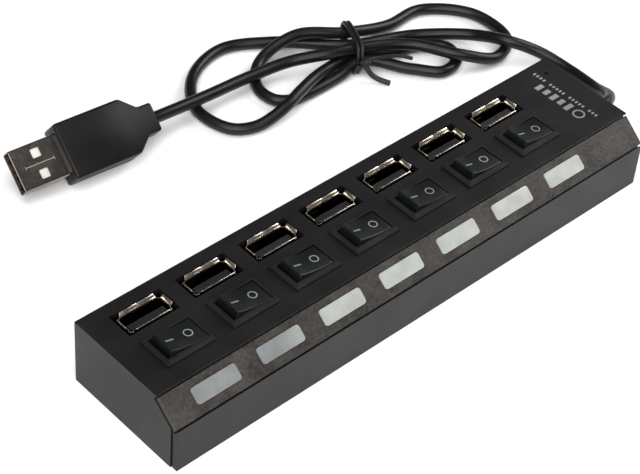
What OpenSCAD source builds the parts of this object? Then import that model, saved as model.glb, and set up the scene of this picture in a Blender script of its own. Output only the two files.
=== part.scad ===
// USB hub with seven upright sockets, a rocker switch for each, and a tied cord.
// The origin is the middle of the case's underside. +X runs along the case to
// the cord's end, +Y to the back and +Z up.

/* [Case] */
// Distance from the last socket's middle to the case's right end
end_space = 28.8; // [28:0.2:40]
// Depth of the case, front to back
case_d = 38; // [37:0.1:46]
// Height of the case
case_h = 20; // [19.5:0.5:26]
// Depth of the flat top, behind the slope
top_d = 30.5; // [30:0.5:38]
// Height of the upright front face, below the slope
front_h = 13.8; // [12:0.2:15]
// Thickness of the end walls and the back wall
wall = 2; // [1.6:0.1:2.4]
// Thickness of the top plate
top_t = 1.8; // [1.5:0.1:2.4]
// Thickness of the base tray
base_t = 1.8; // [1.6:0.1:2.2]
// Gap between the tray and the walls that it fits between
tray_gap = 0.15; // [0.1:0.05:0.3]

/* [Indicator panel] */
// Thickness of the smoky panel on the slope
panel_t = 1.6; // [1.2:0.1:1.8]
// Width of the seam round the panel
seam = 0.35; // [0.25:0.05:0.6]
// Length of a window
window_l = 13.8; // [10:0.2:15]
// Height of a window, measured down the slope
window_h = 4.7; // [3.5:0.1:5.2]
// Corner radius of a window
window_r = 1; // [0.6:0.1:1.6]
// How far a diffuser pad stands out of the panel
pad_proud = 0.25; // [0.1:0.05:0.5]

/* [Sockets] */
// Number of sockets and switches
ports = 7; // [4:1:7]
// Distance from one socket to the next
pitch = 20.2; // [19:0.01:25]
// Distance from the case's back to the sockets' middle line
port_back = 7.9; // [7.5:0.1:9]
// Length of a socket shell's inside, along the case
mouth_l = 12.5; // [12:0.1:15]
// Width of a socket shell's inside, across the case
mouth_w = 5.12; // [5:0.04:5.4]
// Thickness of the shell's sheet metal
shell_t = 0.3; // [0.25:0.05:0.4]
// Height of a socket above the circuit board
shell_h = 14; // [13.5:0.1:14.5]
// How far a lip leans out at the mouth
lip_out = 0.75; // [0.4:0.05:0.9]

/* [Switches] */
// Distance from the case's back to the switches' middle line
switch_back = 20.5; // [20:0.1:22]
// Length of the well that a rocker turns in
well_l = 12.5; // [12.3:0.1:13]
// Width of the well that a rocker turns in
well_w = 7.7; // [7:0.02:9.3]
// Thickness of the housing's end walls
end_wall = 0.4; // [0.3:0.05:0.6]
// Thickness of the housing's side walls, which hold the pins
side_wall = 0.7; // [0.6:0.05:0.9]
// How far the bezel overhangs the housing all round
bezel_lip = 0.75; // [0.5:0.05:1]
// Height of a bezel above the case
bezel_t = 1.3; // [1:0.1:2]
// Tilt of a rocker either side of level, in degrees
rocker_tilt = 10; // [7:0.5:11]
// Radius of a rocker's pins
pin_r = 0.9; // [0.7:0.1:1]
// Running clearance round a pin
pin_gap = 0.05; // [0.03:0.01:0.08]

/* [Cord and plug] */
// Diameter of the cord
cord_d = 3.5; // [3:0.1:3.9]
// Length of the strain relief outside the case
relief_l = 7.5; // [5:0.5:7.5]
// Width of the plug's metal shell
plug_w = 12; // [11.9:0.1:12.1]
// Thickness of the plug's metal shell
plug_t = 4.5; // [4.4:0.1:4.6]
// Length of the plug's shell outside the grip
plug_l = 14; // [11.8:0.2:15]
// Width of the plug's grip
grip_w = 16.2; // [15:0.2:18]
// Thickness of the plug's grip
grip_t = 8.4; // [7.5:0.1:9]
// Length of the plug's grip, without its neck
grip_l = 20.5; // [18:0.5:26]

/* [Hidden] */
$fn = 32;
tiny = 0.01;

// Bosses that the screws go into
boss_r = 2.6;
boss_gap = 0.05;

// Socket shells and the holes that they stand in
hole_gap = 0.45;
shell_l = mouth_l + 2 * shell_t;
shell_w = mouth_w + 2 * shell_t;
port_hole_l = shell_l + 2 * lip_out + 2 * hole_gap;
port_hole_w = shell_w + 2 * lip_out + 2 * hole_gap;

// Case frame. The first socket stands just clear of the bosses in the corners
first_x = wall + 2 * boss_r + boss_gap + port_hole_l / 2;
case_l = first_x + (ports - 1) * pitch + end_space;
left_x = -case_l / 2;
back_y = case_d / 2;
front_y = -case_d / 2;
crease_y = back_y - top_d;
slope_run = crease_y - front_y;
slope_drop = case_h - front_h;
slope_len = norm([slope_run, slope_drop]);
slope_angle = atan2(slope_drop, slope_run);
top_z = case_h;
ceiling_z = case_h - top_t;

// Columns of sockets, switches and windows
function column_x(i) = left_x + first_x + (i - 1) * pitch;
columns = [for (i = [1:ports]) column_x(i)];
port_y = back_y - port_back;
switch_y = back_y - switch_back;

// Circuit board, at the depth that stands the socket mouths just out of the case
lip_rise = 0.3;
board_t = 1.6;
board_top = case_h + lip_rise - shell_h;
board_bottom = board_top - board_t;
board_gap = 0.9;
board_front_gap = 1.6;
board_back = back_y - wall - board_gap;
board_front = front_y + base_t + board_front_gap;
board_left = left_x + wall + board_gap;
board_right = -left_x - wall - board_gap;

// Screws, their places, and the pads and posts of the tray
boss_x_left = left_x + wall + boss_r;
boss_from_port = 13;
boss_inset = 0.4;
boss_from_front = 11;
boss_x_right = column_x(ports) + boss_from_port;
boss_y_back = back_y - wall - boss_r - boss_inset;
boss_y_front = front_y + boss_from_front;
screw_places = [[boss_x_left, boss_y_back], [boss_x_left, boss_y_front],
                [boss_x_right, boss_y_back], [boss_x_right, boss_y_front]];
screw_r = 1.2;
pilot_r = 1.1;
screw_clear_r = 1.5;
screw_head_r = 2.2;
screw_head_h = 1.3;
screw_slot = [2.4, 0.5, 0.7];
head_clear = 0.2;
head_depth = 0.3;
pad_r = 3.6;
pad_h = 3.6;
screw_l = 9;
post_r = 1.8;
post_inset = 3;
board_posts = [for (x = [column_x(1.5), column_x(ports - 0.5)],
                    y = [board_back - post_inset, board_front + post_inset]) [x, y]];
board_hole_r = pad_r + 0.4;

// Sockets
lip_z = 2;
lip_notch = 0.75;
lip_long = mouth_l - 2 * lip_notch;
lip_short = mouth_w - 2 * lip_notch;
tongue_l = 11.1;
tongue_t = 1.84;
tongue_offset = -0.95;
tongue_base_h = 3;
tongue_base_gap = 0.05;
tongue_drop = 1.5;
contact_w = 1;
contact_t = 0.2;
contact_x = [-3.5, -1, 1, 3.5];
contact_drop = 2.9;

// Switches
housing_l = well_l + 2 * end_wall;
housing_w = well_w + 2 * side_wall;
bezel_l = housing_l + 2 * bezel_lip;
bezel_w = housing_w + 2 * bezel_lip;
housing_gap = 0.1;
housing_depth = 7.6;
housing_floor = 1.2;
bezel_chamfer = 0.7;
pivot_drop = 1.15;
pivot_z = case_h - pivot_drop;
rocker_l = 11.2;
rocker_gap = 0.2;
rocker_w = well_w - 2 * rocker_gap;
rocker_end_h = 3.25;
rocker_dip = 0.6;
rocker_belly = 2.2;
rocker_belly_l = 8;
pin_inset = 0.15;
pin_reach = housing_w / 2 - pin_inset;
terminal_l = 1.8;
terminal_t = 0.5;
terminal_x = [-3.2, 3.2];

// Light parts. The diffuser's bar stops short of the slope's two edges
light_wall = 1.1;
light_low = 2.4;
light_high = 1.6;
lamp_hole_r = 0.6;
lamp_gap = 0.1;
lamp_rise = 0.6;
lamp_inset = [4.5, 5];
lamp_x = -left_x - lamp_inset[0];
lamp_y = back_y - lamp_inset[1];
led_l = 2;
led_w = 1.2;
led_h = 0.7;
led_inset = 1.6;
window_s = slope_len / 2;

// Small parts on the board
chip = [5, 4, 1.2];
crystal_size = [5, 3.6, 3.2];
crystal_r = 1.7;
capacitor_r = 2;
capacitor_h = 4;
capacitor_from_port = 8.5;
resistor = [1.6, 0.8, 0.5];
resistor_place = [8.3, 6.5];

// Cord: where it leaves the case, its route and its tie
exit_y = 2;
relief_r = 3.1;
relief_tip_r = 2.4;
relief_neck_r = 2.4;
relief_flange_r = 3.6;
relief_flange_t = 1.4;
relief_gap = 0.1;
exit_z = board_top + relief_flange_r + relief_gap;
wire_r = 0.45;
wire_pitch = 1.1;
wire_reach = 7;
exit_x = case_l / 2 + relief_l;
// Middle line of the cord, from the strain relief to the plug: out and down,
// four loops that all pass through the tie, and along to the plug's neck
cord_points = [
    [exit_x, exit_y, exit_z], [97, 4.5, 8], [102, 13, 3.4], [104, 24.5, 1.8], [101.5, 35.5, 3.4],
    [95.5, 42.5, 5.9], [92, 53.5, 3.2], [81, 64.5, 1.8], [59.3, 72.8, 3], [44, 88.5, 1.8],
    [29.5, 95.5, 1.8], [12.5, 89, 1.8], [5.5, 76.5, 1.8], [9, 65, 1.8], [14.5, 62.3, 2],
    [19.8, 61.4, 3.4], [24.3, 61.4, 4.8], [30.4, 63, 5.5], [37.4, 65.1, 5.4], [46.5, 67.8, 3.7],
    [57, 69, 3], [70, 63, 1.8], [78.5, 60, 1.8], [83, 54.8, 1.8], [81, 49.2, 1.8],
    [74.5, 47.4, 1.8], [67.5, 54, 1.8], [55.8, 65.2, 3.2], [48, 64.7, 1.9], [41, 64.4, 1.8],
    [34.8, 64.5, 1.8], [29.7, 65.2, 1.8], [26.4, 67.8, 1.8], [25.3, 72, 1.8], [27, 77.5, 1.8],
    [32.5, 82.5, 2.8], [46, 82.5, 6.8], [60, 75.6, 5.6], [76, 73, 2.6], [89.5, 73.5, 1.8],
    [101.5, 61, 1.8], [100, 46.5, 1.8], [90, 42, 2.6], [79.5, 47.5, 5.5], [72, 59, 5.6],
    [56, 67, 6.8], [47.6, 69.8, 7.1], [38, 75.2, 5.6], [25.5, 77, 5.5], [7, 77.1, 6.6],
    [-11, 77.4, 7.9]];
cord_sides = 8;
ring_step = 7.6;
tie_place = [58.2, 70.5];
tie_angle = -31;
tie_r = 0.6;
tie_w = 19.6;
tie_h = 9.9;
tie_corner_r = 3;
tail_l = 10;
tail_turn = -28;
long_tail_l = 17;
long_tail_turn = 6;
long_tail_z = 5.6;

// Plug: the end of its neck is the cord's last point, and it lies rolled on
// one edge of its grip
plug_place = cord_points[len(cord_points) - 1];
plug_yaw = -6;
plug_roll = 38;
neck_l = 4.2;
neck_w = 8.4;
neck_t = 6;
neck_r = 1.5;
shoulder_l = 4.8;
plug_wall = 0.3;
plug_inner_l = 5;
plug_tongue_t = 1.9;
plug_tongue_gap = 0.05;
plug_tip_inset = 0.6;
plug_contact_inset = 1;
grip_chamfer = 0.8;
plug_hole = 2.4;
plug_hole_x = 3;

module along_x(length, from = undef) {
    start = is_undef(from) ? -length / 2 : from;
    translate([start, 0, 0]) rotate([90, 0, 90]) linear_extrude(length) children();
}

module block(size, at = [0, 0, 0]) {
    translate([at[0] - size[0] / 2, at[1] - size[1] / 2, at[2]]) cube(size);
}

module rounded(l, w, r) {
    square([l - 2 * r, w], center = true);
    square([l, w - 2 * r], center = true);
    for (x = [-1, 1], y = [-1, 1])
        translate([x * (l / 2 - r), y * (w / 2 - r)]) circle(r);
}

// Lays children out on the slope: X along the case, Y up the slope from its
// middle, Z out of it
module on_slope() {
    translate([0, crease_y, top_z]) rotate([slope_angle, 0, 0])
        translate([0, -window_s, 0]) children();
}

module top_case() color("#262425") {
    difference() {
        union() {
            difference() {
                along_x(case_l) polygon([[back_y, 0], [back_y, top_z], [crease_y, top_z],
                                         [front_y, front_h], [front_y, 0]]);
                along_x(case_l - 2 * wall) polygon([
                    [back_y - wall, -1], [back_y - wall, ceiling_z],
                    [crease_y, ceiling_z], [front_y - 1, front_h],
                    [front_y - 1, -1]]);
            }
            for (p = screw_places) translate([p[0], p[1], pad_h + tray_gap])
                cylinder(r = boss_r, h = ceiling_z - pad_h);
        }
        // Rebates for the panel and the tray's front wall
        on_slope() block([case_l + 2, slope_len - seam, panel_t + 1], [0, -seam / 2, -panel_t]);
        translate([0, front_y, -1]) block([case_l + 2, 2 * (base_t + tray_gap), front_h + 1 + tiny]);
        for (x = columns) {
            block([port_hole_l, port_hole_w, top_t * 4], [x, port_y, ceiling_z - top_t]);
            block([housing_l + 2 * housing_gap, housing_w + 2 * housing_gap, top_t * 4],
                  [x, switch_y, ceiling_z - top_t]);
        }
        translate([lamp_x, lamp_y, ceiling_z - 1]) cylinder(r = lamp_hole_r, h = top_t + 2);
        translate([-left_x - wall - 1, exit_y, exit_z]) rotate([0, 90, 0])
            cylinder(r = relief_neck_r, h = wall + 2);
        for (p = screw_places) translate([p[0], p[1], pad_h - 1])
            cylinder(r = pilot_r, h = screw_l + 1);
    }
}

module base_tray() color("#343233") {
    inner_l = case_l - 2 * wall - 2 * tray_gap;
    inner_back = back_y - wall - tray_gap;
    difference() {
        union() {
            along_x(inner_l) polygon([[front_y, 0], [inner_back, 0],
                                      [inner_back, base_t], [front_y, base_t]]);
            along_x(case_l - 2 * seam) polygon([
                [front_y, 0], [front_y + base_t, 0],
                [front_y + base_t, front_h], [front_y, front_h]]);
            for (p = screw_places) translate([p[0], p[1], 0])
                intersection() {
                    cylinder(r = pad_r, h = pad_h);
                    block([inner_l, 2 * (inner_back - p[1]), pad_h], [-p[0], 0, 0]);
                }
            for (p = board_posts) translate([p[0], p[1], base_t - tiny])
                cylinder(r = post_r, h = board_bottom - base_t + tiny);
        }
        // The front wall's top edge stands clear of the panel
        on_slope() block([case_l, slope_len + seam, panel_t + tray_gap + 1],
                         [0, 0, -panel_t - tray_gap]);
        for (p = screw_places) translate([p[0], p[1], -1]) {
            cylinder(r = screw_clear_r, h = pad_h + 2);
            cylinder(r = screw_head_r + head_clear, h = 1 + head_depth + screw_head_h);
        }
    }
}
module case_screws() color("#8f8f8c") {
    for (p = screw_places) translate([p[0], p[1], head_depth]) difference() {
        union() {
            cylinder(r = screw_head_r, h = screw_head_h);
            cylinder(r = screw_r, h = screw_l);
        }
        for (a = [0, 90]) translate([0, 0, -tiny]) rotate([0, 0, a])
            block(screw_slot);
    }
}

module indicator_panel() color("#57534c") {
    on_slope() difference() {
        block([case_l - 2 * seam, slope_len - 3 * seam, panel_t], [0, -seam / 2, -panel_t]);
        for (x = columns) translate([x, 0, -panel_t - 1])
            linear_extrude(panel_t + 2) rounded(window_l, window_h, window_r);
    }
}

module diffuser_strip() color("#cfd0cc") {
    first = columns[0];
    last = columns[ports - 1];
    on_slope() {
        block([last - first + window_l, slope_len - light_low - light_high, light_wall],
              [(first + last) / 2, (light_low - light_high) / 2, -panel_t - light_wall]);
        for (x = columns) translate([x, 0, -panel_t - tiny]) linear_extrude(panel_t + pad_proud)
            rounded(window_l - 2 * tray_gap, window_h - 2 * tray_gap, window_r - tray_gap);
    }
}

module circuit_board() color("#1f5a34") {
    difference() {
        translate([board_left, board_front, board_bottom])
            cube([board_right - board_left, board_back - board_front, board_t]);
        for (p = screw_places) translate([p[0], p[1], board_bottom - 1])
            cylinder(r = board_hole_r, h = board_t + 2);
    }
}

module hub_chips() color("#1c1c1e") {
    for (i = [2.5 : 3 : ports - 1]) block(chip, [column_x(i), switch_y, board_top]);
}

module crystal() color("#b9b9b4") {
    translate([column_x(1.5), switch_y, board_top]) linear_extrude(crystal_size[2])
        rounded(crystal_size[0], crystal_size[1], crystal_r);
}

module capacitors() color("#2c3550") {
    for (x = [column_x(ports - 0.5), column_x(ports) + capacitor_from_port])
        translate([x, switch_y, board_top]) cylinder(r = capacitor_r, h = capacitor_h);
}

module resistors() color("#26262a") {
    for (x = columns)
        block(resistor, [x + resistor_place[0], board_front + resistor_place[1], board_top]);
}

module port_leds() color("#f2f0dc") {
    for (x = columns) block([led_l, led_w, led_h], [x, board_front + led_inset, board_top]);
}

module power_led() color("#f0ede0") {
    block([led_w, led_l, led_h], [lamp_x, lamp_y, board_top]);
    translate([lamp_x, lamp_y, board_top + led_h])
        cylinder(r = lamp_hole_r - lamp_gap, h = ceiling_z + lamp_rise - board_top - led_h);
}

module socket_shell(x) color("#c9b9a6") {
    translate([x, port_y, 0]) {
        difference() {
            block([shell_l, shell_w, shell_h - lip_z - lip_rise], [0, 0, board_top]);
            block([mouth_l, mouth_w, shell_h], [0, 0, board_top - 0.5]);
        }
        // The four lips lean out above the walls, with open corners between them
        lip_base = case_h - lip_z;
        for (side = [-1, 1]) {
            lip(lip_long, [0, side * (mouth_w / 2), lip_base], side > 0 ? 0 : 180);
            lip(lip_short, [side * (mouth_l / 2), 0, lip_base], side > 0 ? -90 : 90);
        }
    }
}

module lip(length, at, turn) {
    rise = lip_z + lip_rise;
    translate(at) rotate([0, 0, turn]) along_x(length) polygon([
        [0, 0], [shell_t, 0], [lip_out + shell_t, rise], [lip_out, rise]]);
}

module socket_tongue(x) color("#1d1a1b") {
    translate([x, port_y, board_top]) {
        block([mouth_l - 2 * tongue_base_gap, mouth_w - 2 * tongue_base_gap, tongue_base_h]);
        block([tongue_l, tongue_t, shell_h - tongue_drop], [0, tongue_offset, 0]);
    }
}

module socket_contacts(x) color("#c99f4a") {
    face = tongue_offset + tongue_t / 2;
    for (cx = contact_x) block([contact_w, contact_t, shell_h - tongue_base_h - contact_drop],
        [x + cx, port_y + face + contact_t / 2, board_top + tongue_base_h]);
}

module switch_body(x) color("#252728") {
    depth = housing_depth + top_t;
    translate([x, switch_y, 0]) difference() {
        union() {
            translate([0, 0, top_z]) bezel();
            block([housing_l, housing_w, depth], [0, 0, top_z - depth]);
        }
        block([well_l, well_w, depth + bezel_t], [0, 0, top_z - depth + housing_floor]);
        translate([0, housing_w, pivot_z]) rotate([90, 0, 0])
            cylinder(r = pin_r + pin_gap, h = 2 * housing_w);
    }
}

// A frame with sloped sides, made of two crossing wedges
module bezel() {
    intersection() {
        translate([0, bezel_w / 2, 0]) rotate([90, 0, 0]) linear_extrude(bezel_w)
            polygon(bezel_side(bezel_l));
        along_x(bezel_l) polygon(bezel_side(bezel_w));
    }
}
function bezel_side(width) = [
    [-width / 2, 0], [width / 2, 0], [width / 2, bezel_t - bezel_chamfer],
    [width / 2 - bezel_chamfer, bezel_t], [-width / 2 + bezel_chamfer, bezel_t],
    [-width / 2, bezel_t - bezel_chamfer]];

module rocker(x) color("#22282a") {
    top = [for (t = [-1 : 0.25 : 1])
        [t * rocker_l / 2, rocker_end_h - rocker_dip * (1 - t * t)]];
    side = concat(top, [[rocker_l / 2, 0], [rocker_belly_l / 2, -rocker_belly],
                        [-rocker_belly_l / 2, -rocker_belly], [-rocker_l / 2, 0]]);
    translate([x, switch_y, pivot_z]) rotate([0, rocker_tilt, 0]) {
        translate([0, rocker_w / 2, 0]) rotate([90, 0, 0]) linear_extrude(rocker_w) polygon(side);
        translate([0, pin_reach, 0]) rotate([90, 0, 0]) cylinder(r = pin_r, h = 2 * pin_reach);
    }
}

module switch_terminals() color("#b8a878") {
    foot = top_z - housing_depth - top_t;
    for (x = columns, dx = terminal_x)
        block([terminal_t, terminal_l, foot - board_top], [x + dx, switch_y, board_top]);
}

module strain_relief() color("#1b1a1a") {
    face = case_l / 2;
    translate([face, exit_y, exit_z]) rotate([0, 90, 0]) {
        cylinder(r1 = relief_r, r2 = relief_tip_r, h = relief_l, $fn = 48);
        translate([0, 0, -wall - tiny]) cylinder(r = relief_neck_r - 0.1, h = wall + 2 * tiny);
        translate([0, 0, -wall - relief_flange_t]) cylinder(r = relief_flange_r, h = relief_flange_t);
    }
}

module cable_wires() color("#b23a34") {
    start = case_l / 2 - wall - relief_flange_t;
    for (i = [0:3]) translate([start - wire_reach, exit_y + (i - 1.5) * wire_pitch, 0]) {
        translate([0, 0, exit_z]) rotate([0, 90, 0]) cylinder(r = wire_r, h = wire_reach);
        translate([0, 0, board_top]) cylinder(r = wire_r, h = exit_z - board_top);
        translate([0, 0, exit_z]) sphere(r = wire_r);
    }
}

// Direction of the curve at point i, from its neighbours' distances
function unit(v) = v / norm(v);
function slope_at(p, i) =
    i == 0 ? [1, 0, 0] :
    i == len(p) - 1 ? -[cos(plug_yaw), sin(plug_yaw), 0] :
    let (before = p[i] - p[i - 1], after = p[i + 1] - p[i], a = norm(before), b = norm(after))
    (before / a * b + after / b * a) / (a + b);
function curve_point(p, i, t) =
    let (d = norm(p[i + 1] - p[i]))
    (2 * pow(t, 3) - 3 * t * t + 1) * p[i] + (pow(t, 3) - 2 * t * t + t) * d * slope_at(p, i)
    + (3 * t * t - 2 * pow(t, 3)) * p[i + 1] + (pow(t, 3) - t * t) * d * slope_at(p, i + 1);
cord_line = concat(
    [for (i = [0 : len(cord_points) - 2])
        let (steps = max(1, round(norm(cord_points[i + 1] - cord_points[i]) / ring_step)))
        for (k = [0 : steps - 1]) curve_point(cord_points, i, k / steps)],
    [plug_place]);

function line_direction(i) =
    i == 0 ? [1, 0, 0] :
    i == len(cord_line) - 1 ? slope_at(cord_points, len(cord_points) - 1) :
    unit(cord_line[i + 1] - cord_line[i - 1]);
function ring(i) =
    let (t = line_direction(i), side = unit(cross(t, [0, 0, 1])), up = cross(side, t))
    [for (k = [0 : cord_sides - 1])
        let (a = 360 * (k + 0.5) / cord_sides)
        cord_line[i] + cord_d / 2 * (cos(a) * side + sin(a) * up)];

module cord() color("#1b1a1a") {
    last = len(cord_line) - 1;
    n = cord_sides;
    polyhedron(
        points = [for (i = [0 : last]) each ring(i)],
        faces = concat(
            [[for (k = [n - 1 : -1 : 0]) k]],
            [for (i = [0 : last - 1], k = [0 : n - 1])
                [i * n + k, i * n + (k + 1) % n, (i + 1) * n + (k + 1) % n, (i + 1) * n + k]],
            [[for (k = [0 : n - 1]) last * n + k]]));
}

module twist_tie() color("#181818") {
    translate(tie_place) rotate([0, 0, tie_angle]) {
        translate([0, 0, tie_h / 2]) difference() {
            along_x(2 * tie_r) rounded(tie_w, tie_h, tie_corner_r);
            along_x(3 * tie_r) rounded(tie_w - 4 * tie_r, tie_h - 4 * tie_r, tie_corner_r - 2 * tie_r);
        }
        translate([0, tie_r - tie_w / 2, tie_r]) rotate([0, 0, tail_turn]) rotate([0, 90, 0])
            cylinder(r = tie_r, h = tail_l);
        translate([0, tie_r - tie_w / 2, long_tail_z]) rotate([0, 0, long_tail_turn])
            rotate([0, 90, 0]) cylinder(r = tie_r, h = long_tail_l);
    }
}

// Puts children in the plug's own frame: X from the neck's end to the tip,
// Y across, Z through its thickness
module at_plug() {
    translate(plug_place) rotate([0, 0, plug_yaw + 180]) rotate([-plug_roll, 0, 0]) children();
}
plug_face = neck_l + shoulder_l + grip_l;

module plug_shell() color("#c4c4c2") {
    start = plug_face - plug_inner_l;
    at_plug() translate([start, 0, 0]) difference() {
        along_x(plug_l + plug_inner_l, 0) square([plug_w, plug_t], center = true);
        along_x(plug_l + plug_inner_l + 2, -1)
            square([plug_w - 2 * plug_wall, plug_t - 2 * plug_wall], center = true);
        for (y = [-1, 1], z = [-1, 1]) translate([0, y * plug_hole_x, z * plug_t / 2])
            block([plug_hole, plug_hole, 2 * plug_wall + 0.2],
                  [plug_inner_l + plug_l / 2, 0, -plug_wall - 0.1]);
    }
}

module plug_grip() color("#1d1b1b") {
    at_plug() difference() {
        union() {
            intersection() {
                translate([0, 0, -grip_t / 2]) linear_extrude(grip_t) polygon([
                    [plug_face, grip_w / 2], [plug_face - grip_l, grip_w / 2],
                    [neck_l, neck_w / 2], [neck_l, -neck_w / 2],
                    [plug_face - grip_l, -grip_w / 2], [plug_face, -grip_w / 2]]);
                along_x(plug_face, 0) polygon(grip_section());
            }
            along_x(neck_l + 1, 0) rounded(neck_w, neck_t, neck_r);
        }
        along_x(plug_inner_l + 1, plug_face - plug_inner_l) square([plug_w, plug_t], center = true);
    }
}
function grip_section() = let (w = grip_w / 2, t = grip_t / 2, c = grip_chamfer) [
    [w, t - c], [w - c, t], [-w + c, t], [-w, t - c],
    [-w, -t + c], [-w + c, -t], [w - c, -t], [w, -t + c]];

module plug_tongue() color("#e8e6e0") {
    at_plug() along_x(plug_l + plug_inner_l - plug_tip_inset, plug_face - plug_inner_l)
        translate([0, plug_tongue_t / 2])
            square([plug_w - 2 * plug_wall - 2 * plug_tongue_gap, plug_tongue_t], center = true);
}

module plug_contacts() color("#c99f4a") {
    at_plug() for (y = contact_x)
        block([plug_l - 2 * plug_contact_inset, contact_w, contact_t],
              [plug_face + plug_l / 2, y, -contact_t]);
}

top_case();
base_tray();
indicator_panel();
diffuser_strip();
case_screws();
circuit_board();
hub_chips();
crystal();
capacitors();
resistors();
port_leds();
power_led();
switch_terminals();
cable_wires();
strain_relief();
cord();
twist_tie();
plug_shell();
plug_grip();
plug_tongue();
plug_contacts();
for (i = [1:ports]) {
    socket_shell(column_x(i));
    socket_tongue(column_x(i));
    socket_contacts(column_x(i));
    switch_body(column_x(i));
    rocker(column_x(i));
}
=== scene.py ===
import math

import bpy
from mathutils import Matrix, Vector


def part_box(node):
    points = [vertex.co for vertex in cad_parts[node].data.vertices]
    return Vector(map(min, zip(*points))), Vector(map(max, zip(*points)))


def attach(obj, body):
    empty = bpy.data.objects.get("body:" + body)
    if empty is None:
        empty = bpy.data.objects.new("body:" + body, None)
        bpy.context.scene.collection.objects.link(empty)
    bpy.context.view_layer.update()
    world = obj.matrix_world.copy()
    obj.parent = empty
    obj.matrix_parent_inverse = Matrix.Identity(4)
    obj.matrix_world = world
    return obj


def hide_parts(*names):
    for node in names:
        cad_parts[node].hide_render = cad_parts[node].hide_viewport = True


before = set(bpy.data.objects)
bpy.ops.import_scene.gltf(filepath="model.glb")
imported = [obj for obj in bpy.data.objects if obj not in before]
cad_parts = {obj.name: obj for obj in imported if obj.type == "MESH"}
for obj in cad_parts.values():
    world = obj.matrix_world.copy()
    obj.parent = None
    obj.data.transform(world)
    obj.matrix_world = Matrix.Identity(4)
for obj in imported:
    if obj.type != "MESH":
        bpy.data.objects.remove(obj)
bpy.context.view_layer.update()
bpy.ops.object.select_all(action="DESELECT")

# ---- Camera -------------------------------------------------------------
# It looks down along the case from the left front corner through a long
# lens, held with a slight lean.
camera_place = (-0.2768, -0.2457, 0.3534)
camera_turn = (47.13, -3.74, -42.66)
lens_length = 110.3
bpy.ops.object.camera_add(location=camera_place,
                          rotation=[math.radians(angle) for angle in camera_turn])
camera = bpy.context.object
camera.name = "camera"
camera.data.lens = lens_length
bpy.context.scene.camera = camera
bpy.context.scene.view_settings.view_transform = "Standard"

# ---- Cord ---------------------------------------------------------------
# A thin round flex with a soft dark jacket. It leaves the strain relief, is
# folded into four loops under the twist tie, and ends in the plug's neck.
cord_diameter = 0.0035
plug_yaw = math.radians(-6)
cord_route = [
    (0.09, 0.002, 0.01), (0.097, 0.0045, 0.008), (0.102, 0.013, 0.0034), (0.104, 0.0245, 0.0018),
    (0.1015, 0.0355, 0.0034), (0.0955, 0.0425, 0.0059), (0.092, 0.0535, 0.0032),
    (0.081, 0.0645, 0.0018), (0.0593, 0.0728, 0.003), (0.044, 0.0885, 0.0018),
    (0.0295, 0.0955, 0.0018), (0.0125, 0.089, 0.0018), (0.0055, 0.0765, 0.0018),
    (0.009, 0.065, 0.0018), (0.0145, 0.0623, 0.002), (0.0198, 0.0614, 0.0034),
    (0.0243, 0.0614, 0.0048), (0.0304, 0.063, 0.0055), (0.0374, 0.0651, 0.0054),
    (0.0465, 0.0678, 0.0037), (0.057, 0.069, 0.003), (0.07, 0.063, 0.0018),
    (0.0785, 0.06, 0.0018), (0.083, 0.0548, 0.0018), (0.081, 0.0492, 0.0018),
    (0.0745, 0.0474, 0.0018), (0.0675, 0.054, 0.0018), (0.0558, 0.0652, 0.0032),
    (0.048, 0.0647, 0.0019), (0.041, 0.0644, 0.0018), (0.0348, 0.0645, 0.0018),
    (0.0297, 0.0652, 0.0018), (0.0264, 0.0678, 0.0018), (0.0253, 0.072, 0.0018),
    (0.027, 0.0775, 0.0018), (0.0325, 0.0825, 0.0028), (0.046, 0.0825, 0.0068),
    (0.06, 0.0756, 0.0056), (0.076, 0.073, 0.0026), (0.0895, 0.0735, 0.0018),
    (0.1015, 0.061, 0.0018), (0.1, 0.0465, 0.0018), (0.09, 0.042, 0.0026),
    (0.0795, 0.0475, 0.0055), (0.072, 0.059, 0.0056), (0.056, 0.067, 0.0068),
    (0.0476, 0.0698, 0.0071), (0.038, 0.0752, 0.0056), (0.0255, 0.077, 0.0055),
    (0.007, 0.0771, 0.0066), (-0.011, 0.0774, 0.0079)]
route = [Vector(point) for point in cord_route]
cord_curve = bpy.data.curves.new("cord_flex", "CURVE")
cord_curve.dimensions = "3D"
cord_curve.bevel_depth = cord_diameter / 2
cord_curve.bevel_resolution = 5
cord_curve.resolution_u = 10
cord_curve.use_fill_caps = True
spline = cord_curve.splines.new("BEZIER")
spline.bezier_points.add(len(route) - 1)
for i, point in enumerate(route):
    before = (point - route[i - 1]).length if i > 0 else 0.0
    after = (route[i + 1] - point).length if i < len(route) - 1 else 0.0
    if i == 0:
        direction = Vector((1, 0, 0))
    elif i == len(route) - 1:
        direction = -Vector((math.cos(plug_yaw), math.sin(plug_yaw), 0))
    else:
        arriving = (point - route[i - 1]) / before
        leaving = (route[i + 1] - point) / after
        direction = (arriving * after + leaving * before) / (before + after)
    knot = spline.bezier_points[i]
    knot.co = point
    knot.handle_left = point - direction * (before / 3)
    knot.handle_right = point + direction * (after / 3)
cord = bpy.data.objects.new("cord_flex", cord_curve)
bpy.context.scene.collection.objects.link(cord)


class Amount:
    """A value inside a material. Arithmetic on it adds the Math nodes."""

    def __init__(self, finish, socket):
        self.finish = finish
        self.socket = socket

    def maths(self, operation, first, second):
        return self.finish.node("Math", {"operation": operation}, {0: first, 1: second})

    def __add__(self, other):
        return self.maths("ADD", self, other)

    __radd__ = __add__

    def __sub__(self, other):
        return self.maths("SUBTRACT", self, other)

    def __rsub__(self, other):
        return self.maths("SUBTRACT", other, self)

    def __mul__(self, other):
        return self.maths("MULTIPLY", self, other)

    __rmul__ = __mul__


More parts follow.
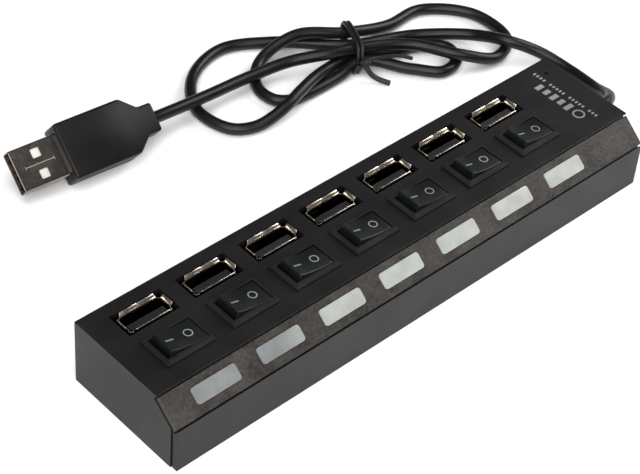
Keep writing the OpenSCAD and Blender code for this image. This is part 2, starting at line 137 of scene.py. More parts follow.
class Finish:
    """A material with one principled shader and the nodes that vary it."""

    def __init__(self, name, colour, roughness, **constants):
        self.material = bpy.data.materials.new(name)
        self.material.use_nodes = True
        self.tree = self.material.node_tree
        self.shader = self.tree.nodes["Principled BSDF"]
        self.shade({"Base Color": (*colour, 1.0), "Roughness": roughness})
        self.shade({name.replace("_", " "): value for name, value in constants.items()})

    def feed(self, node, inputs):
        for name, value in inputs.items():
            if isinstance(value, Amount):
                self.tree.links.new(value.socket, node.inputs[name])
            else:
                node.inputs[name].default_value = value

    def shade(self, inputs):
        self.feed(self.shader, inputs)

    def node(self, kind, settings=None, inputs=None, output=0):
        made = self.tree.nodes.new("ShaderNode" + kind)
        for name, value in (settings or {}).items():
            setattr(made, name, value)
        self.feed(made, inputs or {})
        return Amount(self, made.outputs[output])

    def place(self, stretch=(1, 1, 1)):
        here = self.node("TexCoord", output="Object")
        return self.node("Mapping", {}, {"Vector": here, "Scale": stretch})

    def noise(self, scale, detail=3.0, stretch=(1, 1, 1)):
        return self.node("TexNoise", {}, {
            "Vector": self.place(stretch), "Scale": scale, "Detail": detail})

    def spread(self, amount, low, high):
        return self.node("MapRange", {}, {"Value": amount, "From Min": low, "From Max": high})

    def mix(self, factor, first, second):
        return self.join(factor, (*first, 1.0), (*second, 1.0))

    def join(self, factor, first, second):
        pick = {"Factor": factor, 6: first, 7: second}
        return self.node("Mix", {"data_type": "RGBA"}, pick, output=2)

    def bump(self, height, distance):
        lift = {"Height": height, "Distance": distance}
        self.shade({"Normal": self.node("Bump", {}, lift)})


def grained(name, pale, dark, roughness, grain, depth, **constants):
    """Moulded plastic or rubber: a fine grain, with soft changes of shade and gloss."""
    cloud_scale = 90.0
    grain_gloss = 0.16
    cloud_gloss = 0.06
    finish = Finish(name, pale, roughness, **constants)
    cloud = finish.spread(finish.noise(cloud_scale), 0.35, 0.65)
    grains = finish.noise(grain, 4.0)
    base_gloss = roughness - (grain_gloss + cloud_gloss) / 2
    finish.shade({"Base Color": finish.mix(cloud, dark, pale),
                  "Roughness": grains * grain_gloss + cloud * cloud_gloss + base_gloss})
    finish.bump(grains, depth)
    return finish


def fit(piece, body, slot, finish, *nodes):
    """Gives a new piece its finish, its body and the CAD nodes that it stands for."""
    piece.data.materials.clear()
    piece.data.materials.append(finish.material)
    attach(piece, body)
    if nodes:
        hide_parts(*nodes)
    return piece


cord_jacket = grained("cord_jacket", (0.0065, 0.0053, 0.0051), (0.0042, 0.0035, 0.0034),
                      0.36, 1400.0, 0.00003, Specular_IOR_Level=0.3)
fit(cord, "hub", "cord_rubber", cord_jacket, "cord")

# ---- Floor and lights ---------------------------------------------------
# A white sweep under four soft boxes: the nearest stands beyond the cord's end,
# and the back of the room is left dim so that the flat top stays dark.
floor_size = 6
floor_drop = 0.0001
bpy.ops.mesh.primitive_plane_add(size=floor_size, location=(0, 0, -floor_drop))
floor = bpy.context.object
floor.name = "floor"
sweep = Finish("white_sweep", (0.97, 0.97, 0.97), 0.7, Specular_IOR_Level=0.2)
floor.data.materials.append(sweep.material)


def soft_box(name, place, aim, size, power):
    """A square soft light that faces a point."""
    bpy.ops.object.light_add(type="AREA", location=place)
    light = bpy.context.object
    light.name = name
    light.data.size = size
    light.data.energy = power
    facing = Vector(aim) - Vector(place)
    light.rotation_euler = facing.to_track_quat("-Z", "Y").to_euler()


soft_box("right_soft_box", (0.55, -0.08, 0.42), (0.1, 0, 0), 0.4, 3)
soft_box("left_soft_box", (-1.1, -0.5, 0.9), (-0.1, 0, 0), 0.9, 14)
soft_box("front_soft_box", (-0.6, -1.2, 1.0), (-0.1, 0, 0), 0.9, 12)
soft_box("top_soft_box", (-0.4, -0.1, 1.5), (-0.15, 0, 0), 1.0, 11)
world = bpy.data.worlds.new("room")
world.use_nodes = True
backdrop = world.node_tree.nodes["Background"]
backdrop.inputs["Color"].default_value = (1.0, 1.0, 1.0, 1.0)
backdrop.inputs["Strength"].default_value = 0.08
bpy.context.scene.world = world

# ---- Top case -----------------------------------------------------------
# One injection moulding in matt black plastic: top plate, ends and back. Its
# holes are moulded in, and its corners are eased by the tool.
case_ease = 0.00022
weld_gap = 0.000001


def ease(node, width, segments=2):
    """Rounds the edges of a CAD node by modifiers; its own mesh stays as it is."""
    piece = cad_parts[node]
    weld = piece.modifiers.new("weld", "WELD")
    weld.merge_threshold = weld_gap
    flat = piece.modifiers.new("flat", "DECIMATE")
    flat.decimate_type = "DISSOLVE"
    flat.angle_limit = math.radians(1)
    edge = piece.modifiers.new("edge", "BEVEL")
    edge.width = width
    edge.segments = segments
    edge.limit_method = "ANGLE"
    edge.angle_limit = math.radians(40)
    return piece


def dress(node, finish, width=0.0, segments=2):
    """Gives a CAD node its finish, and eased edges if a width is given."""
    piece = ease(node, width, segments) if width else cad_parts[node]
    piece.data.materials.clear()
    piece.data.materials.append(finish.material)
    return piece


case_black = grained("case_black", (0.0085, 0.0075, 0.0076), (0.0062, 0.0056, 0.0057),
                     0.46, 2600.0, 0.00002, Specular_IOR_Level=0.31)
dress("top_case", case_black, case_ease)

# ---- Base tray ----------------------------------------------------------
# The bottom plate and the upright front wall, moulded in one piece a shade
# paler than the case, and held up into it by four screws.
tray_grey = grained("tray_grey", (0.009, 0.0076, 0.0078), (0.0068, 0.0058, 0.006),
                    0.46, 2600.0, 0.00002, Specular_IOR_Level=0.29)
dress("base_tray", tray_grey, 0.0002)

# ---- Indicator panel ----------------------------------------------------
# A strip of smoky translucent plastic laid in the slope, with seven rounded
# windows. Light caught inside it makes it look brown and mottled.
smoke = Finish("smoky_plastic", (0.05, 0.045, 0.038), 0.45, Specular_IOR_Level=0.45)
haze = smoke.spread(smoke.noise(160.0, 5.0), 0.38, 0.66)
flecks = smoke.spread(smoke.noise(1100.0, 6.0), 0.4, 0.62)
smoke.shade({"Base Color": smoke.mix(haze * 0.5 + flecks * 0.5,
                                     (0.015, 0.0132, 0.0118), (0.05, 0.043, 0.036)),
             "Roughness": haze * 0.14 + 0.4})
smoke.bump(flecks, 0.00002)
dress("indicator_panel", smoke, 0.00015)

# ---- Diffuser strip -----------------------------------------------------
# Milky pads that fill the windows and stand a hair proud, joined behind the
# panel by one bar. The two farthest from the cord get painted shade: greyer.
milk = Finish("milky_plastic", (0.45, 0.46, 0.45), 0.38, Subsurface_Weight=0.15,
              Subsurface_Scale=0.002, Coat_Weight=0.25, Coat_Roughness=0.25)
milk_cloud = milk.spread(milk.noise(220.0), 0.35, 0.7)
# Painted shade: the pads before the third shell get a greyer colour for a darker reflection; the
# rest keep the paler one.
painted_shade_grey = milk.mix(milk_cloud, (0.17, 0.185, 0.185), (0.22, 0.23, 0.23))
unshaded_milk = milk.mix(milk_cloud, (0.33, 0.345, 0.33), (0.4, 0.41, 0.39))
along_case = milk.node("SeparateXYZ", {}, {"Vector": milk.place()}, output="X")
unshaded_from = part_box("socket_shell_3")[0].x
fade_length = 0.012
shade_fade = milk.spread(along_case, unshaded_from - fade_length, unshaded_from)
milk.shade({"Base Color": milk.join(shade_fade, painted_shade_grey, unshaded_milk),
            "Roughness": milk_cloud * 0.12 + 0.32})
dress("diffuser_strip", milk, 0.0003, 3)

# ---- Case screws --------------------------------------------------------
# Four small pan-head screws with cross slots, plated steel, driven up through
# the tray's pads into the bosses.
screw_plate = Finish("screw_plate", (0.5, 0.5, 0.48), 0.35, Metallic=1.0)
screw_wear = screw_plate.noise(900.0, 5.0)
screw_plate.shade({"Roughness": screw_wear * 0.3 + 0.2,
                   "Base Color": screw_plate.mix(screw_wear, (0.36, 0.36, 0.35), (0.6, 0.6, 0.58))})
dress("case_screws", screw_plate, 0.00012)

# ---- Board and what is soldered to it -----------------------------------
# A green glass-epoxy board with two hub chips, a canned crystal, capacitors,
# resistors, the port lamps, the power lamp and the switches' terminals.
board_green = Finish("board_green", (0.02, 0.11, 0.045), 0.3, Coat_Weight=0.4)
weave = board_green.noise(1500.0, 2.0, (1, 6, 1))
board_green.shade({"Base Color": board_green.mix(weave, (0.012, 0.08, 0.03), (0.03, 0.14, 0.06)),
                   "Roughness": weave * 0.2 + 0.2})
dress("circuit_board", board_green)
chip_black = grained("chip_black", (0.012, 0.012, 0.013), (0.008, 0.008, 0.009),
                     0.5, 5000.0, 0.00001)
dress("hub_chips", chip_black, 0.0001)
dress("resistors", chip_black, 0.00005)
can_metal = Finish("can_metal", (0.66, 0.66, 0.63), 0.25, Metallic=1.0)
can_scratch = can_metal.noise(700.0, 4.0, (1, 12, 1))
can_metal.shade({"Roughness": can_scratch * 0.3 + 0.12})
dress("crystal", can_metal, 0.0002)
sleeve = grained("capacitor_sleeve", (0.02, 0.03, 0.08), (0.012, 0.02, 0.06),
                 0.35, 1500.0, 0.00001, Coat_Weight=0.3)
dress("capacitors", sleeve, 0.00025)
lamp_resin = Finish("lamp_resin", (0.62, 0.6, 0.5), 0.2, Coat_Weight=0.5)
resin_cloud = lamp_resin.noise(1800.0)
lamp_resin.shade({"Base Color": lamp_resin.mix(resin_cloud, (0.5, 0.47, 0.38), (0.7, 0.68, 0.6)),
                  "Roughness": resin_cloud * 0.1 + 0.15})
dress("port_leds", lamp_resin, 0.00008)
dress("power_led", lamp_resin, 0.00008)
tinned = Finish("tinned_brass", (0.55, 0.5, 0.36), 0.35, Metallic=1.0)
tinned.shade({"Roughness": tinned.noise(1200.0) * 0.3 + 0.2})
dress("switch_terminals", tinned, 0.00005)
wire_red = grained("wire_red", (0.35, 0.03, 0.025), (0.25, 0.02, 0.018),
                   0.4, 2000.0, 0.00001)
dress("cable_wires", wire_red)

# ---- Socket shells ------------------------------------------------------
# Each is one folded strip of plated brass: a rounded rectangular tube with a
# seam up the back, four lips flared out at the mouth, and two leaf springs.
ports = range(1, 8)
low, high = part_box("socket_shell_1")
lip_flare = 0.00075
shell_gauge = 0.0003
lip_height = 0.0012
lip_steps = ((0.2, 0.4), (0.4, 0.35), (0.4, 0.25))
lip_taper = 0.965
lip_edge = 0.0015
hair = 0.00001
shell_half = Vector(((high.x - low.x) / 2 - lip_flare, (high.y - low.y) / 2 - lip_flare, 0))
corner_r = 0.0007


def choose(*pieces):
    """Selects these objects only, and makes the first of them active."""
    bpy.ops.object.select_all(action="DESELECT")
    for piece in pieces:
        piece.select_set(True)
    bpy.context.view_layer.objects.active = pieces[0]


def box(name, centre, size):
    """A cube primitive at its size and place, with its place in its mesh."""
    bpy.ops.mesh.primitive_cube_add(size=1, location=centre, scale=size)
    bpy.ops.object.transform_apply(location=True, rotation=True, scale=True)
    bpy.context.object.name = name
    return bpy.context.object


def pick(piece, kind, test):
    """Goes into edit mode with the faces or edges selected that pass a test."""
    choose(piece)
    bpy.ops.object.mode_set(mode="EDIT")
    bpy.ops.mesh.select_mode(type=kind)
    bpy.ops.mesh.select_all(action="DESELECT")
    bpy.ops.object.mode_set(mode="OBJECT")
    points = piece.data.vertices
    for item in (piece.data.polygons if kind == "FACE" else piece.data.edges):
        corners = [points[i].co for i in item.vertices]
        middle = sum(corners, Vector()) / len(corners)
        facing = item.normal if kind == "FACE" else corners[1] - corners[0]
        item.select = test(middle, facing)
    bpy.ops.object.mode_set(mode="EDIT")


def done():
    bpy.ops.object.mode_set(mode="OBJECT")


def push(offset):
    """Extrudes what is selected by an offset."""
    bpy.ops.mesh.extrude_region_move(TRANSFORM_OT_translate={"value": offset})


def apply(piece, kind, **settings):
    """Adds a modifier to a piece and applies it."""
    choose(piece)
    made = piece.modifiers.new(kind.lower(), kind)
    for name, value in settings.items():
        setattr(made, name, value)
    bpy.ops.object.modifier_apply(modifier=made.name)


def join(*pieces):
    """Joins pieces into the first of them."""
    choose(*pieces)
    bpy.ops.object.join()
    return pieces[0]


def copy_to(piece, name, offset):
    """A copy of a piece with its own mesh, moved by an offset."""
    twin = bpy.data.objects.new(name, piece.data.copy())
    twin.data.transform(Matrix.Translation(offset))
    bpy.context.scene.collection.objects.link(twin)
    return twin


lip_base = high.z - lip_height
tube_height = lip_base - low.z
shell = box("socket_shell_metal", (0, 0, low.z + tube_height / 2),
            (2 * shell_half.x - shell_gauge, 2 * shell_half.y - shell_gauge, tube_height))
pick(shell, "FACE", lambda middle, facing: abs(facing.z) > 0.9)
bpy.ops.mesh.delete(type="FACE")
done()
pick(shell, "EDGE", lambda middle, facing: abs(facing.z) > tube_height * 0.9)
bpy.ops.mesh.bevel(offset=corner_r, segments=4, affect="EDGES")
done()
# Each lip is drawn up and out in three steps, a little narrower each time
for side, out in (("x", 1), ("x", -1), ("y", 1), ("y", -1)):
    along = "y" if side == "x" else "x"
    reach = 0.0
    for step_out, step_up in lip_steps:
        level = lip_base + reach
        pick(shell, "EDGE", lambda middle, facing: abs(middle.z - level) < hair
             and abs(getattr(facing, along)) > lip_edge
             and getattr(middle, side) * out > 0)
        offset = Vector((0, 0, lip_height * step_up))
        setattr(offset, side, out * lip_flare * step_out)
        push(offset)
        taper = Vector((1, 1, 1))
        setattr(taper, along, lip_taper)
        bpy.ops.transform.resize(value=taper)
        done()
        reach += lip_height * step_up
# The seam where the strip's two ends meet
seam_half = 0.00006
for x in (-seam_half, seam_half):
    pick(shell, "FACE", lambda middle, facing: middle.y > shell_half.y * 0.8
         and abs(middle.x) < shell_half.x * 0.8)
    bpy.ops.mesh.bisect(plane_co=(x, 0, 0), plane_no=(1, 0, 0))
    done()
pick(shell, "FACE", lambda middle, facing: middle.y > shell_half.y * 0.8
     and abs(middle.x) < seam_half * 0.9)
bpy.ops.mesh.delete(type="FACE")
done()
apply(shell, "SOLIDIFY", thickness=shell_gauge, offset=0.0, use_even_offset=True)
apply(shell, "BEVEL", width=0.00005, segments=2, limit_method="ANGLE",
      angle_limit=math.radians(50))
# Two leaf springs, bowed in from the back wall
leaf_width = 0.0022
leaf_length = 0.0052
leaf_gauge = 0.0002
leaf_inset = 0.00012
leaf_drop = 0.0012
leaf_across = 0.0032
leaf_bows = ((0.17, 0.00022), (0.33, 0.00042), (0.5, 0.0005), (0.67, 0.00042), (0.83, 0.00022))
back_face = shell_half.y - shell_gauge
for x in (-leaf_across, leaf_across):
    leaf = box("leaf", (x, back_face - leaf_inset, lip_base - leaf_drop - leaf_length / 2),
               (leaf_width, leaf_gauge, leaf_length))
    pick(leaf, "EDGE", lambda middle, facing: abs(facing.z) > leaf_length * 0.9)
    bpy.ops.mesh.subdivide(number_cuts=len(leaf_bows))
    done()
    for share, bow in leaf_bows:
        level = lip_base - leaf_drop - leaf_length * share
        pick(leaf, "EDGE", lambda middle, facing: abs(middle.z - level) < leaf_gauge / 2
             and abs(facing.z) < hair)
        bpy.ops.transform.translate(value=(0, -bow, 0))
        done()
    join(shell, leaf)
choose(shell)
bpy.ops.object.shade_smooth_by_angle(angle=math.radians(35))
socket_plate = Finish("socket_plate", (0.72, 0.66, 0.57), 0.24, Metallic=1.0)
tarnish = socket_plate.spread(socket_plate.noise(420.0, 5.0), 0.4, 0.7)
drawn = socket_plate.noise(1600.0, 3.0, (8, 8, 1))
lip_shine = socket_plate.mix(tarnish, (0.8, 0.74, 0.64), (0.56, 0.48, 0.38))
# Painted shade: below the lip base the plating is coloured nearly black for the shade inside each
# socket; the lips keep the bright brass.
upward = socket_plate.node("SeparateXYZ", {}, {"Vector": socket_plate.place()}, output="Z")
shade_half = 0.0003
inner_painted_shade = (0.035, 0.025, 0.018, 1.0)
shade_below_lip = socket_plate.spread(upward, lip_base - shade_half, lip_base + shade_half)
socket_plate.shade({"Base Color": socket_plate.join(shade_below_lip, inner_painted_shade, lip_shine),
                    "Roughness": tarnish * 0.12 + drawn * 0.16 + 0.12})
socket_plate.bump(drawn, 0.00001)
for port in ports:
    low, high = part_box(f"socket_shell_{port}")
    place = ((low.x + high.x) / 2, (low.y + high.y) / 2, 0)
    folded = copy_to(shell, f"socket_shell_metal_{port}", place)
    fit(folded, "hub", "socket_metal", socket_plate, f"socket_shell_{port}")
bpy.data.objects.remove(shell)

# ---- Socket tongues and contacts ----------------------------------------
# A black moulded tongue stands in the front half of each shell, with four
# gold-plated spring contacts along its back.
tongue_black = grained("tongue_black", (0.012, 0.011, 0.0112), (0.008, 0.0075, 0.0077),
                       0.4, 3000.0, 0.00001)
gold = Finish("contact_gold", (0.86, 0.6, 0.24), 0.22, Metallic=1.0)
gold_wear = gold.noise(1300.0, 4.0, (1, 1, 5))
gold.shade({"Base Color": gold.mix(gold_wear, (0.9, 0.64, 0.28), (0.7, 0.46, 0.16)),
            "Roughness": gold_wear * 0.25 + 0.1})
for port in ports:
    dress(f"socket_tongue_{port}", tongue_black, 0.00012)
    dress(f"socket_contacts_{port}", gold, 0.00006)

# ---- Switch bodies ------------------------------------------------------
# Snap-in housings of satin nylon. The frame that shows has sloped sides, and
# the rocker's pins turn in its side walls.
frame_nylon = grained("frame_nylon", (0.0085, 0.0085, 0.0088), (0.0062, 0.0062, 0.0065),
                      0.42, 2200.0, 0.000015, Specular_IOR_Level=0.45)
for port in ports:
    dress(f"switch_body_{port}", frame_nylon, 0.00018)

# ---- Rockers and their marks --------------------------------------------
# Each rocker is a hard glossy moulding with a dished top, and tilts on its
# pins. A bar and a ring are printed on it in light grey.
rocker_gloss = grained("rocker_gloss", (0.0058, 0.0075, 0.0082), (0.0042, 0.0055, 0.006),
                       0.36, 1800.0, 0.00001, Specular_IOR_Level=0.42)
print_grey = grained("print_grey", (0.24, 0.245, 0.24), (0.18, 0.185, 0.18), 0.5, 3000.0, 0.00001)
mark_reach = 0.0029
ring_radius = 0.00125
mark_line = 0.0003
mark_rise = 0.00003
mark_gap = 0.000005
bar_length = 0.0024
bar_width = 0.00042
clearance = 0.004
rest_tilt = math.radians(10)


def merged(name, node):
    """A copy of a CAD node, with its loose triangles merged into flat faces."""
    piece = bpy.data.objects.new(name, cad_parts[node].data.copy())
    bpy.context.scene.collection.objects.link(piece)
    choose(piece)
    bpy.ops.object.mode_set(mode="EDIT")
    bpy.ops.mesh.select_all(action="SELECT")
    bpy.ops.mesh.remove_doubles(threshold=weld_gap)
    bpy.ops.mesh.dissolve_limited(angle_limit=math.radians(0.5))
    done()
    return piece


for port in ports:
    rocker = merged(f"rocker_cap_{port}", f"rocker_{port}")
    apply(rocker, "BEVEL", width=0.0005, segments=4, limit_method="ANGLE",
          angle_limit=math.radians(40))
    bpy.ops.object.shade_smooth_by_angle(angle=math.radians(30))
    low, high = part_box(f"switch_body_{port}")
    centre = (low + high) / 2
    above = high.z + clearance
    mark_offset = mark_reach * math.cos(rest_tilt)
    bpy.ops.mesh.primitive_circle_add(
        vertices=32, radius=ring_radius, fill_type="NGON",
        location=(centre.x + mark_offset, centre.y, above))
    bpy.ops.object.transform_apply(location=True, rotation=True, scale=True)
    ring = bpy.context.object
    pick(ring, "FACE", lambda middle, facing: True)
    bpy.ops.mesh.inset(thickness=mark_line)
    bpy.ops.mesh.delete(type="FACE")
    done()
    bpy.ops.mesh.primitive_grid_add(
        x_subdivisions=6, y_subdivisions=1, size=1,
        location=(centre.x - mark_offset, centre.y, above))
    bar = bpy.context.object
    bar.scale = (bar_length, bar_width, 1)
    bpy.ops.object.transform_apply(location=True, rotation=True, scale=True)
    mark = join(ring, bar)
    mark.name = f"rocker_mark_{port}"
    apply(mark, "SHRINKWRAP", target=rocker, wrap_method="PROJECT", use_project_z=True,
          use_negative_direction=True, use_positive_direction=False, offset=mark_gap)
    apply(mark, "SOLIDIFY", thickness=mark_rise, offset=1.0)
    body = f"rocker_{port}"
    fit(rocker, body, "rocker_plastic", rocker_gloss, f"rocker_{port}")
    fit(mark, body, "rocker_plastic", print_grey)

# ---- Print on the top plate ---------------------------------------------
# Plain generic marks instead of any wording: a ring and a row of blocks, with
# a line of fine dashes beside them, pad-printed in grey ink at the cord's end.
low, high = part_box("top_case")
print_x = high.x - 0.0107
print_start = low.y + 0.0133
block_pitch = 0.0027
block_widths = (0.0046, 0.0036, 0.0042, 0.0034, 0.004)
block_share = 0.55
block_squeeze = 0.7
first_block = 1.4
dash_pitch = 0.0012
dash_share = 0.5
dash_length = 0.001
dash_aside = 0.0033
first_dash = -2.8
dashes = 20
word_dashes = 6
word_space = 3
emblem_radius = 0.0018
emblem_line = 0.0005
ink_z = high.z + mark_rise / 2
blocks = []
for i, width in enumerate(block_widths):
    blocks.append(box("block", (print_x, print_start + (i + first_block) * block_pitch, ink_z),
                      (width * block_squeeze, block_pitch * block_share, mark_rise)))
for i in range(dashes):
    if i % word_dashes != word_space:
        dash_y = print_start + (i + first_dash) * dash_pitch
        blocks.append(box("dash", (print_x + dash_aside, dash_y, ink_z),
                          (dash_length, dash_pitch * dash_share, mark_rise)))
bpy.ops.mesh.primitive_circle_add(vertices=32, radius=emblem_radius, fill_type="NGON",
                                  location=(print_x, print_start, high.z))
bpy.ops.object.transform_apply(location=True, rotation=True, scale=True)
emblem = bpy.context.object
pick(emblem, "FACE", lambda middle, facing: True)
bpy.ops.mesh.inset(thickness=emblem_line)
bpy.ops.mesh.delete(type="FACE")
done()
apply(emblem, "SOLIDIFY", thickness=mark_rise, offset=1.0)
printed = join(emblem, *blocks)
printed.name = "printed_mark"
fit(printed, "hub", "case", print_grey)

# ---- Strain relief ------------------------------------------------------
# A tapered boot of soft rubber moulded round the cord, with grooves that let
# it bend, and a flange that holds it inside the end wall.
low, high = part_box("strain_relief")
axis_y = (low.y + high.y) / 2
axis_z = (low.z + high.z) / 2
wall_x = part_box("top_case")[1].x
boot_root = 0.0031
boot_tip = 0.0024
flange_r = (high.y - low.y) / 2
flange_depth = 0.0014
bpy.ops.mesh.primitive_cylinder_add(
    vertices=40, radius=flange_r, depth=flange_depth,
    location=(low.x + flange_depth / 2, axis_y, axis_z), rotation=(0, math.pi / 2, 0))
bpy.ops.object.transform_apply(location=True, rotation=True, scale=True)
boot = bpy.context.object
boot.name = "strain_relief_boot"
boot_centre = (0, axis_y, axis_z)


def draw_on(step, radius, current):
    """Extrudes the boot's end face along X and brings it to a radius."""
    push((step, 0, 0))
    size = radius / current
    bpy.ops.transform.resize(value=(1, size, size), center_override=boot_centre)
    return radius


pick(boot, "FACE", lambda middle, facing: facing.x > 0.9)
neck_r = 0.0023
now = draw_on(0.0, neck_r, flange_r)
now = draw_on(wall_x - low.x - flange_depth, neck_r, now)
now = draw_on(0.0, boot_root, now)
ribs = 5
groove_start = 0.00035
groove_end = 0.00038
bands = ribs * 2 - 1
band = (high.x - wall_x) / bands
for i in range(bands):
    radius = boot_root + (boot_tip - boot_root) * (i + 1) / bands
    if i % 2:
        now = draw_on(0.0, radius - groove_start, now)
        now = draw_on(band, radius - groove_end, now)
        now = draw_on(0.0, radius, now)
    else:
        now = draw_on(band, radius, now)
done()
apply(boot, "BEVEL", width=0.00012, segments=2, limit_method="ANGLE",
      angle_limit=math.radians(40))
bpy.ops.object.shade_smooth_by_angle(angle=math.radians(40))
fit(boot, "hub", "cord_rubber", cord_jacket, "strain_relief")

# ---- Twist tie ----------------------------------------------------------
# A plastic-coated wire wrapped twice round the bundle, twisted on itself at
# the front, with a short tail down to the floor and a long one along the cord.
tie_round = 0.0006
tie_centre = Vector((0.0582, 0.0705, 0))
tie_angle = math.radians(-31)
tie_half = 0.0092
tie_wrap = [
    (0.0004, -1.0, 0.0046), (0.0006, -0.96, 0.0082), (0.0006, -0.55, 0.0093),
    (0.0004, 0.0, 0.0089), (0.0, 0.5, 0.0084), (-0.0002, 0.9, 0.0076),
    (-0.0004, 1.0, 0.0044), (-0.0004, 0.93, 0.0014), (-0.0004, 0.5, 0.0006),
    (-0.0004, -0.3, 0.0006), (-0.0004, -0.9, 0.0008), (-0.0002, -1.02, 0.003),
    (0.0006, -1.06, 0.0052)]
tie_turn = Matrix.Translation(tie_centre) @ Matrix.Rotation(tie_angle, 4, "Z")
tail_short = [(0.0012, -0.98, 0.0058), (0.0022, -1.1, 0.0042), (0.0036, -1.22, 0.0022),
              (0.006, -1.36, 0.0011), (0.0088, -1.5, 0.0007)]
tail_long = [(0.0, -1.12, 0.006), (0.0022, -1.0, 0.0063), (0.0056, -0.86, 0.0058),
             (0.0098, -0.78, 0.0056), (0.0136, -0.78, 0.0054), (0.0165, -0.84, 0.0044)]


def bent_wire(name, stations, aside=0.0, thick=tie_round):
    """A round wire through points given along the bundle, across it and up."""
    curve = bpy.data.curves.new(name, "CURVE")
    curve.dimensions = "3D"
    curve.bevel_depth = thick
    curve.bevel_resolution = 3
    curve.resolution_u = 6
    curve.use_fill_caps = True
    line = curve.splines.new("NURBS")
    line.points.add(len(stations) - 1)
    for knot, (along, across, up) in zip(line.points, stations):
        knot.co = (*(tie_turn @ Vector((along + aside, across * tie_half, up))), 1)
    line.use_endpoint_u = True
    line.order_u = 3
    wire = bpy.data.objects.new(name, curve)
    bpy.context.scene.collection.objects.link(wire)
    choose(wire)
    bpy.ops.object.convert(target="MESH")
    return bpy.context.object


# The twist itself: two wires wound round each other for one and a half turns
twist_turns = 1.5
twist_length = 0.0024
twist_start = Vector((0.0008, -1.03, 0.0054))
twist_across = 0.07
twist_up = 0.00065
twist_steps = 12
coils = []
for start in (0.0, math.pi):
    coil = []
    for i in range(twist_steps + 1):
        share = i / twist_steps
        angle = start + share * twist_turns * 2 * math.pi
        coil.append((twist_start.x + share * twist_length,
                     twist_start.y + twist_across * math.cos(angle),
                     twist_start.z + twist_up * math.sin(angle)))
    coils.append(bent_wire("twist", coil))
wrap_aside = 0.0006
flat_tail = 0.0008
tie = join(bent_wire("twist_tie_wire", tie_wrap, -wrap_aside),
           bent_wire("wrap", tie_wrap, wrap_aside),
           bent_wire("tail", tail_short, 0.0, flat_tail), bent_wire("tail", tail_long), *coils)
tie.name = "twist_tie_wire"
choose(tie)
bpy.ops.object.shade_smooth_by_angle(angle=math.radians(40))
tie_coat = grained("tie_coat", (0.008, 0.0074, 0.0074), (0.0052, 0.0048, 0.0048),
                   0.42, 1500.0, 0.00002, Specular_IOR_Level=0.35)
fit(tie, "hub", "tie_coating", tie_coat, "twist_tie")

# ---- Plug grip ----------------------------------------------------------
# Soft black plastic moulded over the plug: a flat chunky body with chamfered
# edges, sloping shoulders and a block neck that the cord comes out of.
plug_roll = math.radians(-38)
plug_frame = (Matrix.Translation(route[-1])
              @ Matrix.Rotation(plug_yaw + math.pi, 4, "Z")
              @ Matrix.Rotation(plug_roll, 4, "X"))
neck_length = 0.0042
neck_width = 0.0084
neck_depth = 0.006
shoulder = 0.0048
grip_length = 0.0205
grip_width = 0.0162
grip_depth = 0.0084
plug_face = neck_length + shoulder + grip_length
grip = box("plug_grip_body", (neck_length / 2, 0, 0), (neck_length, neck_width, neck_depth))
pick(grip, "FACE", lambda middle, facing: facing.x > 0.9)
push((shoulder, 0, 0))
bpy.ops.transform.resize(value=(1, grip_width / neck_width, grip_depth / neck_depth),
                         center_override=(0, 0, 0))
push((grip_length, 0, 0))
done()
apply(grip, "BEVEL", width=0.0007, segments=3, limit_method="ANGLE",
      angle_limit=math.radians(20))
mouth_size = (0.01, 0.0121, 0.0046)
mouth = box("mouth", (plug_face, 0, 0), mouth_size)
apply(grip, "BOOLEAN", object=mouth, operation="DIFFERENCE", solver="EXACT")
bpy.data.objects.remove(mouth)
# A parting line round the edge of the moulding
groove_width = 0.00016
groove_stop = 0.002
grip_middle = neck_length + shoulder + grip_length / 2
for side in (-1, 1):
    groove = box("groove", (grip_middle, side * grip_width / 2, 0),
                 (grip_length - groove_stop, groove_width, groove_width))
    apply(grip, "BOOLEAN", object=groove, operation="DIFFERENCE", solver="EXACT")
    bpy.data.objects.remove(groove)
choose(grip)
bpy.ops.object.shade_smooth_by_angle(angle=math.radians(30))
grip.data.transform(plug_frame)
grip_rubber = grained("grip_rubber", (0.0052, 0.0044, 0.0044), (0.0036, 0.003, 0.003),
                      0.42, 1600.0, 0.00002, Specular_IOR_Level=0.2)
fit(grip, "hub", "plug_rubber", grip_rubber, "plug_grip")

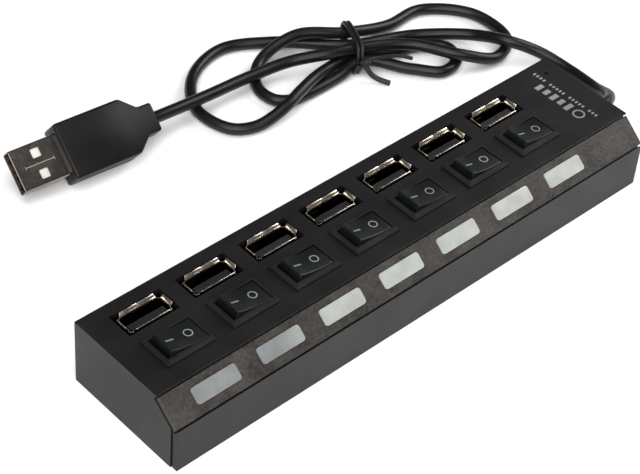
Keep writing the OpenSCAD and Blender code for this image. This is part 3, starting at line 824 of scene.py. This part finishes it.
# ---- Plug shell ---------------------------------------------------------
# Nickel-plated steel folded into a flat tube. Its ends meet in a seam with a
# tick at each end, and each wide face has two square latch holes.
shell_width = 0.012
shell_depth = 0.0045
shell_out = 0.014
shell_in = 0.0045
sheet = 0.0003
fold_r = 0.0006
hole = 0.0026
hole_across = 0.003
tube = box("plug_shell_metal", (plug_face + (shell_out - shell_in) / 2, 0, 0),
           (shell_out + shell_in, shell_width - sheet, shell_depth - sheet))
pick(tube, "FACE", lambda middle, facing: abs(facing.x) > 0.9)
bpy.ops.mesh.delete(type="FACE")
done()
pick(tube, "EDGE", lambda middle, facing: abs(facing.x) > shell_out)
bpy.ops.mesh.bevel(offset=fold_r, segments=4, affect="EDGES")
done()
apply(tube, "SOLIDIFY", thickness=sheet, offset=0.0, use_even_offset=True)
hole_x = plug_face + shell_out / 2
for across in (-hole_across, hole_across):
    punch = box("punch", (hole_x, across, 0), (hole, hole, 2 * shell_depth))
    apply(punch, "BEVEL", width=0.0003, segments=3)
    apply(tube, "BOOLEAN", object=punch, operation="DIFFERENCE", solver="EXACT")
    bpy.data.objects.remove(punch)
seam_width = 0.00022
seam_length = shell_out * 0.62
seam_tick = 0.0012
cut_depth = 2.4 * sheet
cuts = [(hole_x, seam_length, seam_width)]
for end in (-1, 1):
    cuts.append((hole_x + end * seam_length / 2, seam_width, seam_tick))
for cut_x, cut_length, cut_width in cuts:
    slot_cut = box("seam", (cut_x, 0, shell_depth / 2), (cut_length, cut_width, cut_depth))
    apply(tube, "BOOLEAN", object=slot_cut, operation="DIFFERENCE", solver="EXACT")
    bpy.data.objects.remove(slot_cut)
choose(tube)
bpy.ops.object.shade_smooth_by_angle(angle=math.radians(35))
tube.data.transform(plug_frame)
nickel = Finish("plug_nickel", (0.24, 0.21, 0.19), 0.25, Metallic=1.0)
rubbed = nickel.noise(900.0, 4.0)
smears = nickel.spread(nickel.noise(150.0), 0.4, 0.7)
nickel.shade({"Base Color": nickel.mix(smears, (0.25, 0.222, 0.2), (0.17, 0.148, 0.13)),
              "Roughness": rubbed * 0.14 + smears * 0.08 + 0.16})
nickel.bump(rubbed, 0.000002)
fit(tube, "hub", "plug_metal", nickel, "plug_shell")

# ---- Plug tongue and contacts -------------------------------------------
# A white insulator fills half of the plug's shell and carries four gold
# contact strips on its inner face.
insulator = grained("white_insulator", (0.66, 0.65, 0.6), (0.55, 0.54, 0.5),
                    0.35, 2000.0, 0.00001)
dress("plug_tongue", insulator, 0.0001)
dress("plug_contacts", gold, 0.00004)
